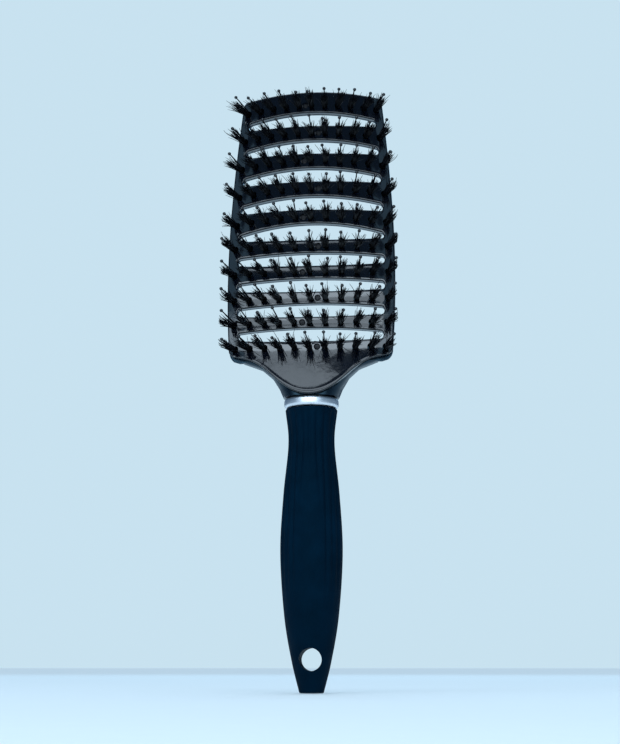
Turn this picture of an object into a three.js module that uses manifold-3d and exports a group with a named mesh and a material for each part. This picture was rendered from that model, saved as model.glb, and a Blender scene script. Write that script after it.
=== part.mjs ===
// Vented hair brush with ten tufted bars, standing on its flat handle end.
// Units are millimetres. +Z runs up the brush, the bristles point towards -Y and X is the width.
// The origin is the centre of the flat end face of the handle.
import * as THREE from 'three';
import { mergeVertices } from 'three/addons/utils/BufferGeometryUtils.js';
import Module from 'manifold-3d';

const wasm = await Module();
wasm.setup();

// Clearances
const GAP = 0.3;
const PAST = 6; // how far a cutting tool runs past what it cuts

// Head: a front plate over a back shell, leaning back and crowned across its width
const HEAD_TOP = 245.6;
const HEAD_CORNER_Z = 242.8;
const HEAD_CORNER_X = 28.7;
const HEAD_FOOT_Z = 129.2;
const HEAD_CORNER_ROUND = 1.8;
const HEAD_FOOT_X = 28.5;
const HEAD_SIDE_FOOT = [32.9, 134.2];
const HEAD_SIDE_CONTROLS = [[33.0, 206], [35.6, 170]];
const FACE_Y = -10.4;
const FACE_Z = 115;
const LEAN = Math.tan(THREE.MathUtils.degToRad(5.5));
const CROWN_RADIUS = 165;
const FRONT_THICKNESS = 2.4;
const BACK_THICKNESS = 1.6;
const IN_FRONT = -20; // a Y in front of the whole head
const BEHIND = 40; // a depth behind the whole neck
const PLATE_TIP_Z = 115.3;
const PLATE_FOOT_Z = 131;
const PLATE_KNEE = [12, 120.6]; // where the pointed foot turns from hollow to full
const PLATE_HOLLOW = [[-1.8, 20], [124.4, 16.5]]; // drop and X, then Z and X
const PLATE_FULL = [[8, 117.2], 4.5];

// Bars, vents and tufts
const TOP_ROW_Z = 239.1;
const ROW_STEPS = [12.4, 12.4, 12.4, 12.4, 12.8, 11, 11, 10.2, 10.2];
const ARCHED_ROWS = 5;
const ROW_ARCH = 2.4;
const TUFTS = 11;
const ROW_WIDTH = 0.91; // outer tufts, as a share of the head's half width
const VENT_WIDTH = 0.88;
const VENT_LIFT = 0.35; // above the middle between two rows
const ARCHED_VENT = { height: 6, upperSag: 3.6, lowerSag: 0.7 };
const TALL_VENT = { height: 7.2, upperSag: 4.1, lowerSag: -0.8 };
const STRAIGHT_VENT = { height: 5.5, upperSag: 1.3, lowerSag: -1.2 };
const VENT_CORNER = 0.6;
const SPLAY = THREE.MathUtils.degToRad(18.5); // of the outer tufts
const TILT = THREE.MathUtils.degToRad(6); // of every tuft, towards the head's top
const TUFT_LIFT = -0.1; // bundle's place on its bar
const TUFT_ROOT_RADIUS = 0.45;
const TUFT_TIP_RADIUS = 1.25;
const TUFT_LENGTH = 10.5;
const PIN_LIFT = 1.35;
const PIN_RADIUS = 0.3;
const PIN_LENGTH = 13;
const PIN_BURIED = 0.5; // past the near side of its root strip
const BALL_RADIUS = 0.68;
const TUFT_HOLE_WIDTH = 1.3;
const TUFT_HOLE_LOW = -1.25;
const TUFT_HOLE_HIGH = 1.95;

// The channel behind each bar, and what lies in it
const CHANNEL_DEPTH = 1.2; // from the front face
const CHANNEL_LOW = -1.5;
const CHANNEL_HIGH = 2.2;
const CHANNEL_OVERHANG = 1.6; // past the outer tufts
const STRIP_OVERHANG = 0.9;
const ROOT_DEPTHS = [CHANNEL_DEPTH + GAP, FRONT_THICKNESS];
const TUFT_ROOT = [-0.65, 0.05];
const PIN_ROOT = [0.75, 1.5];
const WIRE_LIFT = -1.1;
const WIRE_RADIUS = 0.2;
const RIVET_LIFT = 0.37;
const RIVET_HEAD_RADIUS = 1.1;
const RIVET_HEAD_DEPTH = 0.7;
const RIVET_SINK = 0.1; // of its head below the face
const RIVET_SHANK_RADIUS = 0.2;
const RIVET_LENGTH = 3.7;
const RIVET_CLEARANCE = 0.22;

// Neck, ring and handle
const NECK_FOOT_Z = 115.2;
const NECK_TOP_Z = 135.5;
const NECK_BACK = [[10.3, NECK_FOOT_Z], [9.7, 118.5], [5.5, 127], [0.4, 132.5], [-3.4, NECK_TOP_Z]];
const NECK_FLARE = [[11.1, NECK_FOOT_Z], [12.5, 118.6], [15.2, 123], [19.6, 126.6], [27, HEAD_FOOT_Z]];
const NECK_JOIN = 0.5; // the spigot's length inside the neck
const SPIGOT_RADIUS = 8.2;
const TANG_RADIUS = 4.5;
const TANG_FOOT_Z = 72;
const RING_LOW_Z = 111;
const RING_HIGH_Z = 114.9;
const RING_OUTER = 10.85;
const RING_INNER = 8.6;
const RING_ROUND = 0.9;
const SLEEVE_TOP_Z = 110.7;
const SLEEVE_WALL = 2.2;
const SLEEVE_OUTLINE = [
  [4.75, 0],
  [7.8, 12.3],
  [10.7, 29.5],
  [12.3, 54],
  [11.15, 76.4],
  [9.2, 97],
  [10.4, SLEEVE_TOP_Z],
];
const HANDLE_DEPTH = 0.84; // depth over width, away from the ring
const DEPTH_FADE = [60, 104];
const FLUTES = 18;
const FLUTE_DEPTH = 0.45;
const FLUTE_FADE = [34, 62];
const CORE_FOOT_Z = 24;
const CORE_GAP = 0.45; // to the sleeve's coarser facets
const HANG_HOLE_Z = 12.7;
const HANG_HOLE_RADIUS = 4.4;

const FINISHES = {
  plate: { color: 0x0b111c, roughness: 0.14, metalness: 0 },
  shell: { color: 0x10161f, roughness: 0.4, metalness: 0 },
  sleeve: { color: 0x0a1420, roughness: 0.75, metalness: 0 },
  ring: { color: 0xc9ccd0, roughness: 0.32, metalness: 1 },
  bristle: { color: 0x08090c, roughness: 0.55, metalness: 0 },
  pin: { color: 0x0d0e12, roughness: 0.3, metalness: 0 },
  wire: { color: 0x9a9c9f, roughness: 0.35, metalness: 1 },
  core: { color: 0x1b1d20, roughness: 0.6, metalness: 0 },
};

const group = new THREE.Group();

// Solids: closed geometry to manifold-3d and back
function solid(geometry) {
  const bare = geometry.clone();
  bare.deleteAttribute('normal');
  bare.deleteAttribute('uv');
  const merged = mergeVertices(bare, 1e-4);
  const vertProperties = new Float32Array(merged.attributes.position.array);
  const triVerts = new Uint32Array(merged.index.array);
  return new wasm.Manifold(new wasm.Mesh({ numProp: 3, vertProperties, triVerts }));
}

function geometryOf(manifold) {
  const mesh = manifold.asOriginal().simplify(0.01).getMesh();
  const geometry = new THREE.BufferGeometry();
  geometry.setAttribute('position', new THREE.BufferAttribute(new Float32Array(mesh.vertProperties), 3));
  geometry.setIndex(new THREE.BufferAttribute(new Uint32Array(mesh.triVerts), 1));
  geometry.computeVertexNormals();
  return geometry;
}

function addNode(name, manifold, finish) {
  const mesh = new THREE.Mesh(geometryOf(manifold), new THREE.MeshStandardMaterial(FINISHES[finish]));
  mesh.name = name;
  group.add(mesh);
}

const union = (solids) => solids.reduce((sum, one) => sum.add(one));
const cut = (body, tools) => tools.reduce((left, tool) => left.subtract(tool), body);
const numbered = (name, row) => `${name}_${String(row + 1).padStart(2, '0')}`;

// The head's front face, and a slab between two depths behind it
function faceY(x, z) {
  return FACE_Y + (z - FACE_Z) * LEAN + (x * x) / (2 * CROWN_RADIUS);
}

function slab(nearDepth, farDepth) {
  const halfWidth = 36;
  const facets = 6;
  const low = 100;
  const high = 260;
  const across = [];
  for (let i = 0; i <= facets; i++) {
    const x = halfWidth * ((2 * i) / facets - 1);
    across.push([x, (x * x) / (2 * CROWN_RADIUS)]);
  }
  const near = across.map(([x, y]) => new THREE.Vector2(x, y + nearDepth));
  const far = across.map(([x, y]) => new THREE.Vector2(x, y + farDepth)).reverse();
  const geometry = new THREE.ExtrudeGeometry(new THREE.Shape([...near, ...far]), {
    depth: high - low,
    bevelEnabled: false,
  });
  const shift = FACE_Y - FACE_Z * LEAN;
  const lean = new THREE.Matrix4().set(1, 0, 0, 0, 0, 1, LEAN, shift, 0, 0, 1, 0, 0, 0, 0, 1);
  return solid(geometry.translate(0, 0, low).applyMatrix4(lean));
}

// A shape drawn in X and Z, extruded along Y through the whole head
function through(shape, curveSegments = 6) {
  const depth = 80;
  const geometry = new THREE.ExtrudeGeometry(shape, { depth, bevelEnabled: false, curveSegments });
  return solid(geometry.rotateX(Math.PI / 2).translate(0, depth / 2, 0));
}

// A shape turned about Z from its radius and height points
function turned(points, segments) {
  const profile = points.map(([r, z]) => new THREE.Vector2(r, z));
  return solid(new THREE.LatheGeometry(profile, segments).rotateX(Math.PI / 2));
}

// Places geometry whose length runs along its own Y so that it runs along a direction
function alongDirection(geometry, start, direction) {
  const side = new THREE.Vector3(-direction.y, direction.x, 0).normalize();
  const third = new THREE.Vector3().crossVectors(side, direction);
  const place = new THREE.Matrix4().makeBasis(side, direction, third).setPosition(start);
  return solid(geometry.applyMatrix4(place));
}

// Outlines of the head
const sideCurve = new THREE.CubicBezierCurve(
  new THREE.Vector2(HEAD_CORNER_X, HEAD_CORNER_Z),
  new THREE.Vector2(...HEAD_SIDE_CONTROLS[0]),
  new THREE.Vector2(...HEAD_SIDE_CONTROLS[1]),
  new THREE.Vector2(...HEAD_SIDE_FOOT),
);

function halfWidthAt(z) {
  const points = sideCurve.getPoints(60);
  const nearest = points.reduce((best, p) => (Math.abs(p.y - z) < Math.abs(best.y - z) ? p : best));
  return nearest.x;
}

function headShape(footZ, grow, drawFoot) {
  const top = HEAD_TOP + grow;
  const corner = HEAD_CORNER_X + grow;
  const round = HEAD_CORNER_ROUND;
  const shape = new THREE.Shape();
  shape.moveTo(corner - round, HEAD_CORNER_Z + grow);
  shape.quadraticCurveTo(0, 2 * top - HEAD_CORNER_Z - grow, round - corner, HEAD_CORNER_Z + grow);
  shape.quadraticCurveTo(-corner, HEAD_CORNER_Z + grow, -corner, HEAD_CORNER_Z - round);
  const [near, far] = HEAD_SIDE_CONTROLS;
  const [footX, sideFootZ] = HEAD_SIDE_FOOT;
  shape.bezierCurveTo(-near[0] - grow, near[1], -far[0] - grow, far[1], -footX - grow, sideFootZ);
  shape.quadraticCurveTo(-footX - grow, footZ - grow, -HEAD_FOOT_X, footZ - grow);
  drawFoot(shape, footZ - grow, grow);
  shape.quadraticCurveTo(footX + grow, footZ - grow, footX + grow, sideFootZ);
  shape.bezierCurveTo(far[0] + grow, far[1], near[0] + grow, near[1], corner, HEAD_CORNER_Z - round);
  shape.quadraticCurveTo(corner, HEAD_CORNER_Z + grow, corner - round, HEAD_CORNER_Z + grow);
  return shape;
}

function flatFoot(shape, footZ) {
  shape.lineTo(HEAD_FOOT_X, footZ);
}

function pointedFoot(shape, footZ, grow) {
  const tip = PLATE_TIP_Z - grow;
  const knee = [PLATE_KNEE[0] + grow, PLATE_KNEE[1] - grow];
  const [[drop, nearX], [farZ, farX]] = PLATE_HOLLOW;
  const [[fullX, fullZ], tipX] = PLATE_FULL;
  shape.bezierCurveTo(-nearX, footZ + drop, -farX, farZ - grow, -knee[0], knee[1]);
  shape.bezierCurveTo(-fullX, fullZ - grow, -tipX, tip, 0, tip);
  shape.bezierCurveTo(tipX, tip, fullX, fullZ - grow, knee[0], knee[1]);
  shape.bezierCurveTo(farX, farZ - grow, nearX, footZ + drop, HEAD_FOOT_X, footZ);
}

// Rows of tufts
const rows = [];
for (let row = 0, z = TOP_ROW_Z; row <= ROW_STEPS.length; z -= ROW_STEPS[row], row++) {
  rows.push({ z, arch: row < ARCHED_ROWS ? ROW_ARCH : 0, reach: halfWidthAt(z) * ROW_WIDTH });
}

function rowZ(row, x, lift) {
  return row.z + lift - row.arch * (x / row.reach) ** 2;
}

function tuftsOf(row) {
  const places = [];
  for (let i = 0; i < TUFTS; i++) {
    const share = (2 * i) / (TUFTS - 1) - 1;
    const splay = SPLAY * share;
    const direction = new THREE.Vector3(Math.sin(splay), -Math.cos(splay), Math.tan(TILT)).normalize();
    places.push({ x: row.reach * share, direction });
  }
  return places;
}

// A point on a tuft's line at a depth behind the front face
function tuftPoint(row, place, lift, depth) {
  const z = rowZ(row, place.x, lift);
  const point = new THREE.Vector3(place.x, faceY(place.x, z), z);
  return point.addScaledVector(place.direction, -depth);
}

// A band along a row, between two heights about its middle line
function rowBand(row, low, high, overhang) {
  const end = row.reach + overhang;
  const sag = row.arch * (end / row.reach) ** 2;
  const shape = new THREE.Shape();
  shape.moveTo(-end, row.z + low - sag);
  shape.quadraticCurveTo(0, row.z + low + sag, end, row.z + low - sag);
  shape.lineTo(end, row.z + high - sag);
  shape.quadraticCurveTo(0, row.z + high + sag, -end, row.z + high - sag);
  shape.closePath();
  return through(shape, row.arch ? 4 : 1);
}

// Vents
function ventShape(upperRow, lowerRow, vent) {
  const z = (upperRow.z + lowerRow.z) / 2 + VENT_LIFT;
  const w = halfWidthAt(z) * VENT_WIDTH;
  const top = z + vent.height / 2;
  const bottom = z - vent.height / 2;
  const topEnd = top - vent.upperSag;
  const bottomEnd = bottom - vent.lowerSag;
  const shape = new THREE.Shape();
  shape.moveTo(-w, bottomEnd + VENT_CORNER);
  shape.quadraticCurveTo(-w, bottomEnd, VENT_CORNER - w, bottomEnd);
  shape.quadraticCurveTo(0, 2 * bottom - bottomEnd, w - VENT_CORNER, bottomEnd);
  shape.quadraticCurveTo(w, bottomEnd, w, bottomEnd + VENT_CORNER);
  shape.lineTo(w, topEnd - VENT_CORNER);
  shape.quadraticCurveTo(w, topEnd, w - VENT_CORNER, topEnd);
  shape.quadraticCurveTo(0, 2 * top - topEnd, VENT_CORNER - w, topEnd);
  shape.quadraticCurveTo(-w, topEnd, -w, topEnd - VENT_CORNER);
  shape.closePath();
  return shape;
}

function ventKind(index) {
  if (index < ARCHED_ROWS - 1) return ARCHED_VENT;
  return index === ARCHED_ROWS - 1 ? TALL_VENT : STRAIGHT_VENT;
}

const vents = ROW_STEPS.map((_, i) => through(ventShape(rows[i], rows[i + 1], ventKind(i)), 4));

// Rivets, one on each bar, by turns left and right of the middle
function rivetPlace(row, index) {
  const half = row.reach / (TUFTS - 1);
  const x = index % 2 ? half : -half;
  const z = rowZ(row, x, RIVET_LIFT);
  return new THREE.Vector3(x, faceY(x, z), z);
}

const inwards = new THREE.Vector3(0, 1, 0);

function rivetSolid(place, clearance) {
  const head = RIVET_HEAD_RADIUS + clearance;
  const shank = RIVET_SHANK_RADIUS + clearance;
  const start = clearance ? -PAST : RIVET_SINK;
  const neck = RIVET_HEAD_DEPTH + clearance;
  const end = RIVET_LENGTH + clearance;
  const profile = [[0, start], [head, start], [head, neck], [shank, neck], [shank, end], [0, end]];
  const geometry = new THREE.LatheGeometry(profile.map((p) => new THREE.Vector2(...p)), 6);
  return alongDirection(geometry, place, inwards);
}

// Front plate
function tuftHole(row, place) {
  const middle = (TUFT_HOLE_HIGH + TUFT_HOLE_LOW) / 2;
  const halfHeight = (TUFT_HOLE_HIGH - TUFT_HOLE_LOW) / 2;
  const length = 2 * FRONT_THICKNESS;
  const geometry = new THREE.CylinderGeometry(1, 1, length, 4).rotateY(Math.PI / 4);
  geometry.scale(TUFT_HOLE_WIDTH * Math.SQRT2, 1, halfHeight * Math.SQRT2);
  return alongDirection(geometry, tuftPoint(row, place, middle, 0), place.direction);
}

function frontPlate() {
  const blank = slab(0, FRONT_THICKNESS).intersect(through(headShape(PLATE_FOOT_Z, 0, pointedFoot)));
  const channelSlab = slab(CHANNEL_DEPTH, FRONT_THICKNESS + PAST);
  const bands = rows.map((row) => rowBand(row, CHANNEL_LOW, CHANNEL_HIGH, CHANNEL_OVERHANG));
  const channels = bands.map((band) => band.intersect(channelSlab));
  const holes = rows.flatMap((row) => tuftsOf(row).map((place) => tuftHole(row, place)));
  const rivetHoles = rows.map((row, i) => rivetSolid(rivetPlace(row, i), RIVET_CLEARANCE));
  return cut(blank, [...vents, ...channels, ...holes, ...rivetHoles]);
}

// Back shell with the neck, the spigot and the tang in one moulding
function neck() {
  const side = new THREE.Shape(NECK_BACK.map(([y, z]) => new THREE.Vector2(y, z)));
  side.lineTo(IN_FRONT, NECK_TOP_Z);
  side.lineTo(IN_FRONT, NECK_FOOT_Z);
  const width = 80;
  const profile = new THREE.ExtrudeGeometry(side, { depth: width, bevelEnabled: false });
  const axes = new THREE.Matrix4().set(0, 0, 1, -width / 2, 1, 0, 0, 0, 0, 1, 0, 0, 0, 0, 0, 1);
  const flare = [[0, NECK_FOOT_Z], ...NECK_FLARE, [27, NECK_TOP_Z], [0, NECK_TOP_Z]];
  const round = turned(flare, 28);
  return solid(profile.applyMatrix4(axes)).intersect(round).intersect(slab(0, BEHIND));
}

function backShell() {
  const near = FRONT_THICKNESS + GAP;
  const back = slab(near, near + BACK_THICKNESS).intersect(through(headShape(HEAD_FOOT_Z, 0, flatFoot)));
  const pocket = through(headShape(PLATE_FOOT_Z, GAP, pointedFoot)).intersect(slab(IN_FRONT, near));
  const spigot = turned(
    [
      [0, TANG_FOOT_Z],
      [TANG_RADIUS, TANG_FOOT_Z],
      [TANG_RADIUS, SLEEVE_TOP_Z + GAP],
      [SPIGOT_RADIUS, SLEEVE_TOP_Z + GAP],
      [SPIGOT_RADIUS, NECK_FOOT_Z + NECK_JOIN],
      [0, NECK_FOOT_Z + NECK_JOIN],
    ],
    20,
  );
  const rivetHoles = rows.map((row, i) => rivetSolid(rivetPlace(row, i), RIVET_CLEARANCE));
  return cut(union([back, neck(), spigot]), [pocket, ...vents, ...rivetHoles]);
}

// Boar bundles and ball pins of one row, each joined at its folded roots
function bundle(row, place) {
  const buried = (ROOT_DEPTHS[0] + ROOT_DEPTHS[1]) / 2;
  const length = TUFT_LENGTH + buried;
  const geometry = new THREE.CylinderGeometry(TUFT_TIP_RADIUS, TUFT_ROOT_RADIUS, length, 4);
  geometry.translate(0, length / 2, 0);
  return alongDirection(geometry, tuftPoint(row, place, TUFT_LIFT, buried), place.direction);
}

function ballPin(row, place) {
  const buried = ROOT_DEPTHS[0] + PIN_BURIED;
  const tip = PIN_LENGTH + buried;
  const neckEnd = tip - 2 * BALL_RADIUS;
  const middle = tip - BALL_RADIUS;
  const profile = [[0, 0], [PIN_RADIUS, 0], [PIN_RADIUS * 0.8, neckEnd], [BALL_RADIUS, middle], [0, tip]];
  const geometry = new THREE.LatheGeometry(profile.map((p) => new THREE.Vector2(...p)), 4);
  return alongDirection(geometry, tuftPoint(row, place, PIN_LIFT, buried), place.direction);
}

function rootStrip(row, [low, high]) {
  return rowBand(row, low, high, STRIP_OVERHANG).intersect(slab(...ROOT_DEPTHS));
}

function drawWire(row) {
  const points = [-1, -0.5, 0, 0.5, 1].map((share) => {
    const x = share * row.reach;
    const z = rowZ(row, x, WIRE_LIFT);
    return new THREE.Vector3(x, faceY(x, z) + (ROOT_DEPTHS[0] + ROOT_DEPTHS[1]) / 2, z);
  });
  const section = new THREE.Shape();
  section.absarc(0, 0, WIRE_RADIUS, 0, 2 * Math.PI);
  const path = new THREE.CatmullRomCurve3(points);
  const steps = row.arch ? 6 : 4;
  return solid(new THREE.ExtrudeGeometry(section, { steps, curveSegments: 2, extrudePath: path }));
}

// Ring: a band with rounded outer corners
function ring() {
  const r = RING_OUTER - RING_ROUND * 0.5;
  return turned(
    [
      [RING_INNER, RING_LOW_Z],
      [r, RING_LOW_Z],
      [RING_OUTER, RING_LOW_Z + RING_ROUND],
      [RING_OUTER, RING_HIGH_Z - RING_ROUND],
      [r, RING_HIGH_Z],
      [RING_INNER, RING_HIGH_Z],
      [RING_INNER, RING_LOW_Z],
    ],
    24,
  );
}

// Handle: turned outlines, pressed flatter away from the ring
const sleeveCurve = new THREE.SplineCurve(SLEEVE_OUTLINE.map((p) => new THREE.Vector2(...p)));

function outlinePoints(inset, lowZ, highZ, steps) {
  const dense = sleeveCurve.getPoints(200);
  const points = [];
  for (let i = 0; i <= steps; i++) {
    const z = lowZ + ((highZ - lowZ) * i) / steps;
    const nearest = dense.reduce((best, p) => (Math.abs(p.y - z) < Math.abs(best.y - z) ? p : best));
    points.push([nearest.x - inset, z]);
  }
  return points;
}

function pressedLathe(points, segments, fluted) {
  const profile = points.map(([r, z]) => new THREE.Vector2(r, z));
  const geometry = new THREE.LatheGeometry(profile, segments).rotateX(Math.PI / 2);
  const position = geometry.attributes.position;
  for (let i = 0; i < position.count; i++) {
    const [x, y, z] = [position.getX(i), position.getY(i), position.getZ(i)];
    const flat = 1 - (1 - HANDLE_DEPTH) * (1 - THREE.MathUtils.smoothstep(z, ...DEPTH_FADE));
    const depth = fluted ? FLUTE_DEPTH * THREE.MathUtils.smoothstep(z, ...FLUTE_FADE) : 0;
    const wave = (1 - Math.cos(FLUTES * Math.atan2(y, x))) / 2;
    const r = Math.hypot(x, y);
    const scale = r > SPIGOT_RADIUS ? 1 - (depth * wave) / r : 1;
    position.setXYZ(i, x * scale, y * scale * flat, z);
  }
  return solid(geometry);
}

function gripSleeve() {
  const outer = pressedLathe(
    [[0, 0], ...outlinePoints(0, 0, SLEEVE_TOP_Z, 10), [0, SLEEVE_TOP_Z]],
    2 * FLUTES,
    true,
  );
  const hollow = [[0, CORE_FOOT_Z - GAP], ...outlinePoints(SLEEVE_WALL, CORE_FOOT_Z - GAP, SLEEVE_TOP_Z, 6)];
  hollow.push([hollow.at(-1)[0], SLEEVE_TOP_Z + PAST], [0, SLEEVE_TOP_Z + PAST]);
  const hole = new THREE.CylinderGeometry(HANG_HOLE_RADIUS, HANG_HOLE_RADIUS, 60, 20);
  const hangHole = solid(hole.translate(0, 0, HANG_HOLE_Z));
  return cut(outer, [pressedLathe(hollow, 14, false), hangHole]);
}

function handleCore() {
  const top = SLEEVE_TOP_Z - GAP;
  const outline = outlinePoints(SLEEVE_WALL + CORE_GAP, CORE_FOOT_Z, top, 6);
  const outer = pressedLathe([[0, CORE_FOOT_Z], ...outline, [0, top]], 14, false);
  const radius = TANG_RADIUS + GAP;
  const foot = TANG_FOOT_Z - GAP;
  const socket = turned([[0, foot], [radius, foot], [radius, top + PAST], [0, top + PAST]], 20);
  return outer.subtract(socket);
}

addNode('head_front_plate', frontPlate(), 'plate');
addNode('head_back_shell', backShell(), 'shell');
rows.forEach((row, i) => {
  const places = tuftsOf(row);
  const bundles = places.map((place) => bundle(row, place));
  const pins = places.map((place) => ballPin(row, place));
  addNode(numbered('boar_tuft_row', i), union([rootStrip(row, TUFT_ROOT), ...bundles]), 'bristle');
  addNode(numbered('ball_pin_row', i), union([rootStrip(row, PIN_ROOT), ...pins]), 'pin');
  addNode(numbered('draw_wire', i), drawWire(row), 'wire');
  addNode(numbered('plate_rivet', i), rivetSolid(rivetPlace(row, i), 0), 'core');
});
addNode('collar_ring', ring(), 'ring');
addNode('handle_core', handleCore(), 'core');
addNode('grip_sleeve', gripSleeve(), 'sleeve');

export default group;
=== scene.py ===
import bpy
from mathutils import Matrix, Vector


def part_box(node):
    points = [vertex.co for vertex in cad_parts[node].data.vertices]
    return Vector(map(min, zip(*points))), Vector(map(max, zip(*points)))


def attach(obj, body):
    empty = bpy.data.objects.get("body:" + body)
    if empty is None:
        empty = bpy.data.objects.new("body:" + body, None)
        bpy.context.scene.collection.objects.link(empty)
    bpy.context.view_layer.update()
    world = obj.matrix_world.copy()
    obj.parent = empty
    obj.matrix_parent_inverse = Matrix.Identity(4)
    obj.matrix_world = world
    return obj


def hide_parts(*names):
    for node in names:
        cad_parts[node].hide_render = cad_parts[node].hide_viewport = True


bl_info = {
    "name": "Vented paddle brush",
    "version": (1, 0, 0),
    "blender": (4, 5, 0),
    "location": "3D Viewport > Sidebar > Brush",
    "description": "Builds a vented hair brush with boar tufts, ball pins and a fluted handle",
    "category": "Object",
}

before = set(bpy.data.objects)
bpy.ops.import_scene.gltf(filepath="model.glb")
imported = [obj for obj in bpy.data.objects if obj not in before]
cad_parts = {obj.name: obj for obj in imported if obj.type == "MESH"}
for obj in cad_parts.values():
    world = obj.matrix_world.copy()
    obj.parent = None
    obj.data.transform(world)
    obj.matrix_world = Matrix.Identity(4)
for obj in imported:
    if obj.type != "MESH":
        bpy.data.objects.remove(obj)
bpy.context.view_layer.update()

import math

import bmesh
import bpy
import numpy as np
from mathutils import Vector

MM = 0.001


def box_mm(node):
    """A CAD node's lowest and highest corners in millimetres."""
    low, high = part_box(node)
    return np.array(low) / MM, np.array(high) / MM


# ---------------------------------------------------------------- the frame's own sizes, in millimetres
PLATE_LOW, PLATE_HIGH = box_mm("head_front_plate")
GRIP_LOW, GRIP_HIGH = box_mm("grip_sleeve")
RING_LOW, RING_HIGH = box_mm("collar_ring")
BARS = 10
TUFTS = 11

# The head's face leans back and is crowned across its width
LEAN = math.tan(math.radians(5.5))
CROWN_RADIUS = 165.0
FRONT_THICKNESS = 2.4
SHELL_NEAR = 2.7
SHELL_FAR = 4.3

# Outline of the head
HEAD_TOP = PLATE_HIGH[2]
CORNER_DROP = 2.8
CORNER_X = 28.7
CORNER_ROUND = 1.8
SIDE_FOOT_Z = 134.2
SIDE_FOOT_X = 32.9
FOOT_X = 28.5
PLATE_FOOT_Z = 131.0
HEAD_FOOT_Z = 129.2

# Bars and vents
WIRE_RADIUS = 0.2
WIRE_DROP = 1.1
VENT_SHARE = 0.88
VENT_END = 0.034
VENT_LIFT = 0.35
ARCHED_VENT = (6.0, 3.6, 0.7)
TALL_VENT = (7.2, 4.1, -0.8)
STRAIGHT_VENT = (5.5, 1.3, -1.2)
BAR_FADE = 0.06

# The pointed foot of the plate, which lies in a pocket in the shell
APRON_TOP = 134.5
POCKET_GAP = 0.15
POCKET_EXTRA_DEPTH = 0.2
POCKET_FRONT = -4.0
POCKET_TOP = 139.0
POCKET_REACH = 36.0

# Rounds of the mouldings' edges
PLATE_BACK_ROUND = 0.12
SHELL_FRONT_ROUND = 0.12
SHELL_BACK_ROUND = 0.7
WELD = 0.002

# The channel behind each bar: its overhang past the end tufts, its foot and head, its front and back
CHANNEL_OVERHANG = 1.6
CHANNEL_LOW, CHANNEL_HIGH = -1.5, 2.2
CHANNEL_NEAR, CHANNEL_FAR = 1.2, 3.0

# Holes for the tufts, which are longer than the plate is thick
HOLE_LIFT = 0.3
HOLE_HALF_WIDTH = 1.12
HOLE_HALF_HEIGHT = 1.5
HOLE_BEHIND, HOLE_BEFORE = 1.6, 3.0

# Tufts and pins
OUTWARD = (0.0, -1.0, 0.0)
SPLAY = math.radians(18.5)
TILT = math.radians(6.0)
TUFT_LIFT = -0.1
TUFT_RADIUS = 0.88
TUFT_BURIED = 1.4
TUFT_FLARE = 0.060
TUFT_LEAN = 0.035
BRISTLE_SHORTEST, BRISTLE_SPREAD = 0.80, 0.28
BRISTLE_LEAN = 0.038
BRISTLE_BEND = 0.05
BRISTLE_DROOP = 0.02
BRISTLE_STATIONS = np.array([0.0, 0.3, 0.6, 0.82, 1.0])
BRISTLE_TAPER = np.array([1.0, 1.0, 0.95, 0.85, 0.45])
STRAY_SHARE = 0.12
STRAY_LENGTH = 1.04
REIN = 0.75
FAR_END = 1.8
PIN_LIFT = 1.2
PIN_BURIED = 1.5
PIN_RISE = 0.03
PIN_LEAN = 0.05
OUTER_PIN_LEAN = 0.012
OUTER_BRISTLE = box_mm("ball_pin_row_07")[1][0] - 0.4

# Rivets: a thin shank under a domed head in a round seat, as (radius, height) from the face
RIVET_LIFT = 0.37
RIVET_SEAT_RADIUS, RIVET_SEAT_DEPTH = 1.36, 0.95
RIVET_BORE_RADIUS, RIVET_BORE_DEPTH = 0.3, 4.0
RIVET_CLEAR = 2.0
RIVET_SHANK = [(0, -3.7), (0.2, -3.7), (0.2, -0.9)]
RIVET_HEAD = [(1.15, -0.9), (1.25, -0.82), (1.25, -0.66), (1.19, -0.56), (1.05, -0.5)]
RIVET_HEAD += [(0.6, -0.45), (0, -0.43)]

# Neck, ring and grip
NECK_BACK = np.array([[10.3, 115.2], [9.7, 118.5], [5.5, 127.0], [0.4, 132.5], [-3.4, 135.5]])
NECK_FLARE = np.array([[11.1, 115.2], [12.5, 118.6], [15.2, 123.0], [19.6, 126.6], [27.0, 129.2]])
NECK_START = 0.5
NECK_JOIN = 1.0
NECK_OVERLAP = 0.6
NECK_SHIFT, NECK_SHIFT_LOW, NECK_SHIFT_HIGH = -3.2, 120.0, 129.0
FRONT_FULLNESS, BACK_FULLNESS, TOP_FULLNESS = 3.0, 2.0, 0.8
SPIGOT_RADIUS = 8.2
SPIGOT_TOP = 117
SPIGOT_GAP = 0.1
RING_INNER = 8.6
RING_ROUND = 1.3
SLEEVE_STATIONS = [(4.75, 0), (7.8, 12.3), (10.7, 29.5), (12.3, 54), (11.15, 76.4), (9.2, 97), (10.4, 110.7)]
SLEEVE_WALL = 2.2
SLEEVE_END_ROUND = 0.6
SLEEVE_FLATTENED, SLEEVE_ROUND = 0.84, 0.16
FLUTES_PLAIN, FLUTES_FULL = 28, 58
FLUTE_HALF_WIDTH = 0.75
FLUTE_STEPS = 14
CORE_FOOT = 23.7
HANG_Z = 12.7
HANG_RADIUS = 4.4

# Camera, in degrees and metres
CAMERA_AZIMUTH = 5.5
CAMERA_PITCH = 10.95
CAMERA_DISTANCE = 0.6
CAMERA_HEIGHT = 0.010
CAMERA_ASIDE = -0.0006
CAMERA_LENS = 73.7


def face_y(x, z):
    """The crowned, leaning front face of the head."""
    return PLATE_LOW[1] + (z - PLATE_LOW[2]) * LEAN + x * x / (2 * CROWN_RADIUS)


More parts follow.
